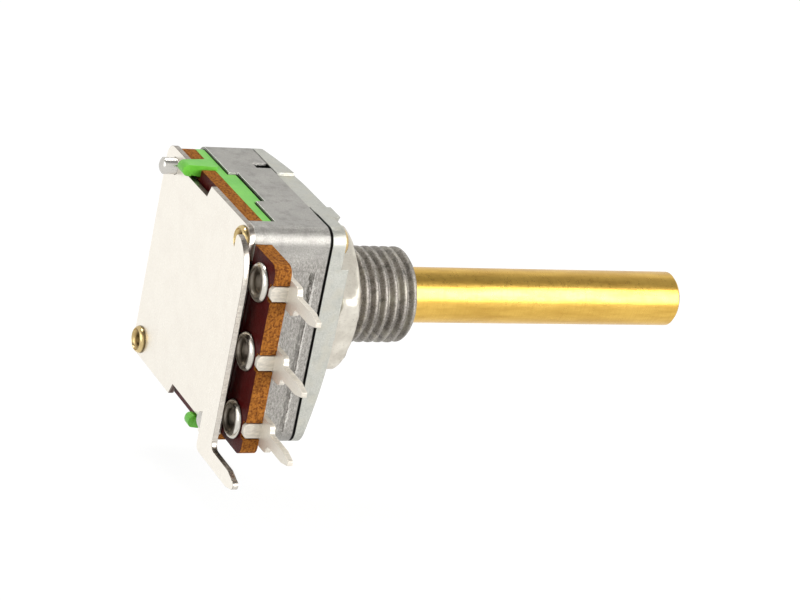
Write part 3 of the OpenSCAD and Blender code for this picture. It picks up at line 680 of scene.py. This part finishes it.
def mounting_nut():
    """A hexagon nut with turned corners, on a round collar."""
    around = 180
    flat_r, corner_r = 5.0, 5.66
    turn_deg, collar_end = 16.5, 1.35
    profile = (
        (NUT_BACK, 4.6), (NUT_BACK, 5.25), (1.0, 5.35), (1.28, 5.35), (1.34, 5.2), (1.36, 5.45),
        (1.55, 5.77), (2.1, 5.77), (2.45, 5.66), (2.75, 5.48), (2.95, 5.28), (NUT_FRONT, 5.0),
        (NUT_FRONT, 4.2), (NUT_FRONT, 3.3),
    )

    hexagon = []
    for j in range(around):
        from_flat = math.radians((360 * j / around + turn_deg) % 60 - 30)
        hexagon.append(min(flat_r / math.cos(from_flat), corner_r))
    rings = []
    for x, limit in profile:
        radii = [limit] * around
        if x > collar_end:
            radii = [min(radius, limit) for radius in hexagon]
        rings.append(ring(x, radii))
    bm = bmesh.new()
    skin(bm, rings)
    bmesh.ops.recalc_face_normals(bm, faces=bm.faces)
    piece_from(bm, "nut", "mounting_nut")


def case_body():
    """The body casting, with its drawn groove a little further forward and shallower."""
    bm = node_bmesh("body_casting")
    for vert, x, y, z in places_of(bm):
        if abs(x - CAD_GROOVE_X) < 0.25 and y < 0.2 - HALF and -7.2 < z < 6.0:
            vert.co.x += (GROOVE_X - CAD_GROOVE_X) * MM
            vert.co.y = min(y, GROOVE_DEPTH - HALF) * MM
            vert.co.z = min(z, GROOVE_HIGH + 0.1) * MM
    piece_from(bm, "case_body", "body_casting", bevel=0.1, flat=True)


# Each hook head: middle along Y in the solid and here, and scale along X and Y
UPPER_HOOK = (3.75, 3.75, 0.82, 0.72)
LOWER_HOOK = (-4.65, -4.42, 0.6, 0.5)
HOOK_ROOT_X = -7.6
HOOK_REACH_Z = 8.1
SPACER_FRONT_X = -5.35
SPACER_GAP = 0.1


def spacer():
    """The green spacer, with a gap at the body that shows the body's painted black shade, and slimmer heads
    on its two snap hooks.
    """
    bm = node_bmesh("insulating_spacer")
    for vert, x, y, z in places_of(bm):
        if x > SPACER_FRONT_X:
            vert.co.x -= SPACER_GAP * MM
        if x > HOOK_ROOT_X:
            continue
        cad_middle, new_middle, scale_x, scale_y = UPPER_HOOK if z > 0 else LOWER_HOOK
        height = HOOK_REACH_Z - (HOOK_REACH_Z - abs(z)) * 0.8
        vert.co.x = (HOOK_ROOT_X + (x - HOOK_ROOT_X) * scale_x) * MM
        vert.co.y = (new_middle + (y - cad_middle) * scale_y) * MM
        vert.co.z = math.copysign(height, z) * MM
    piece_from(bm, "green_spacer", "insulating_spacer", bevel=0.08, flat=True)


def board():
    """The laminate board, a little off the rear plate, with its lower edge a little lower."""
    plate_gap, corner_shift, lowered = 0.16, 0.7, 0.16
    bm = node_bmesh("terminal_board")
    for vert, x, y, z in places_of(bm):
        if x < BOARD_BACK + 0.04 and y > -7.6:
            vert.co.x += plate_gap * MM
        if z < -6.7 and -7.7 < y < -7.4:
            vert.co.y += corner_shift * MM
        if z < -6.7 and y > -7.7:
            vert.co.z -= lowered * MM
    piece_from(bm, "laminate_board", "terminal_board", bevel=0.1, flat=True)


threaded_bushing()
flange_casting()
rear_plate()
mounting_nut()
case_body()
spacer()
board()


# Camera, fitted to the straight edges of the photograph, in metres
LENS = 141.266
SENSOR = 36
CAMERA_PLACE = Vector((-0.091602, -0.183263, 0.0812))
CAMERA_RIGHT = Vector((0.89434, -0.40277, 0.19478))
CAMERA_BACK = Vector((-0.44722, -0.81703, 0.36395))


def add_camera():
    data = bpy.data.cameras.new("camera")
    data.lens = LENS
    data.sensor_width = SENSOR
    data.clip_start = 0.01
    data.clip_end = 20
    camera = bpy.data.objects.new("camera", data)
    scene.collection.objects.link(camera)
    back = CAMERA_BACK.normalized()
    up = back.cross(CAMERA_RIGHT).normalized()
    right = up.cross(back).normalized()
    camera.matrix_world = Matrix.Translation(CAMERA_PLACE) @ Matrix((right, up, back)).transposed().to_4x4()
    scene.camera = camera


# Studio
ZENITH_COLOR = (0.35, 0.34, 0.33, 1)
SKY_STOPS = ((0.62, 1.0), (0.74, 0.75), (0.83, 0.3), (0.95, 0.3))
SKY_BLUE_SHARE = 0.98
AMBIENT = 0.45
FLOOR_HALF, FLOOR_Z = 0.9, -0.0145
FLOOR_GLOW, FLOOR_PAPER = 0.84, 0.18
WHITE = (1, 1, 1, 1)


def grey(level):
    return (level, level, level, 1)


def studio_world():
    """White to the camera, darker overhead in reflections, and a weak even fill for the rest."""
    world = bpy.data.worlds.new("studio")
    scene.world = world
    world.use_nodes = True
    world.node_tree.nodes.clear()
    n = Nodes(world.node_tree)
    out = n.add("ShaderNodeOutputWorld")
    path = n.add("ShaderNodeLightPath").outputs
    sky = n.add("ShaderNodeValToRGB")
    stops = sky.color_ramp.elements
    stops[0].color = WHITE
    stops[1].color = ZENITH_COLOR
    for position, level in SKY_STOPS:
        stops.new(position).color = (level, level, level * SKY_BLUE_SHARE, 1)
    direction = n.split(n.add("ShaderNodeTexCoord").outputs["Generated"])
    n.link(direction["Z"], sky.inputs["Fac"])

    def background(color, strength=1.0):
        node = n.add("ShaderNodeBackground")
        n.feed(color, node.inputs["Color"])
        node.inputs["Strength"].default_value = strength
        return node.outputs[0]

    indirect = n.choose(path["Is Glossy Ray"], background(WHITE, AMBIENT), background(sky.outputs["Color"]))
    seen = n.highest(path["Is Camera Ray"], path["Is Transmission Ray"])
    n.link(n.choose(seen, indirect, background(WHITE)), out.inputs["Surface"])


def floor_piece():
    """White paper: it glows for rays that see it, and keeps the object's shadow."""
    mesh = bpy.data.meshes.new("floor")
    square = [(x * FLOOR_HALF, y * FLOOR_HALF, FLOOR_Z) for x, y in ((-1, -1), (1, -1), (1, 1), (-1, 1))]
    mesh.from_pydata(square, [], [(0, 1, 2, 3)])
    obj = bpy.data.objects.new("floor", mesh)
    scene.collection.objects.link(obj)
    mat = bpy.data.materials.new("floor_paper")
    mat.use_nodes = True
    n = Nodes(mat.node_tree)
    unseen = n.tree.nodes["Principled BSDF"]
    unseen.inputs["Base Color"].default_value = grey(0.8)
    unseen.inputs["Roughness"].default_value = 0.9
    path = n.add("ShaderNodeLightPath").outputs
    seen = n.highest(path["Is Camera Ray"], path["Is Glossy Ray"], path["Is Transmission Ray"])
    glow = n.add("ShaderNodeEmission")
    glow.inputs["Color"].default_value = grey(FLOOR_GLOW)
    n.link(seen, glow.inputs["Strength"])
    paper = n.add("ShaderNodeBsdfDiffuse")
    paper.inputs["Color"].default_value = grey(FLOOR_PAPER)
    both = n.add("ShaderNodeAddShader")
    n.link(paper.outputs[0], both.inputs[0])
    n.link(glow.outputs[0], both.inputs[1])
    shown = n.choose(seen, unseen.outputs[0], both.outputs[0])
    n.link(shown, n.tree.nodes["Material Output"].inputs["Surface"])
    mesh.materials.append(mat)


def softbox(name, toward, distance, size, power):
    """A rectangular lamp that looks at the origin. Sizes are in metres and the power in watts."""
    data = bpy.data.lights.new(name, "AREA")
    data.shape = "RECTANGLE"
    data.size, data.size_y = size
    data.energy = power
    lamp = bpy.data.objects.new(name, data)
    scene.collection.objects.link(lamp)
    direction = Vector(toward).normalized()
    lamp.location = direction * distance
    lamp.rotation_euler = direction.to_track_quat("Z", "Y").to_euler()
    lamp.visible_camera = False


add_camera()
studio_world()
floor_piece()
softbox("key", toward=(0.5, -0.8, 0.42), distance=0.35, size=(0.30, 0.26), power=1.4)
softbox("left", toward=(-0.9, -0.25, 0.35), distance=0.4, size=(0.3, 0.3), power=0.5)
softbox("top", toward=(-0.1, 0.35, 0.9), distance=0.45, size=(0.22, 0.12), power=0.8)
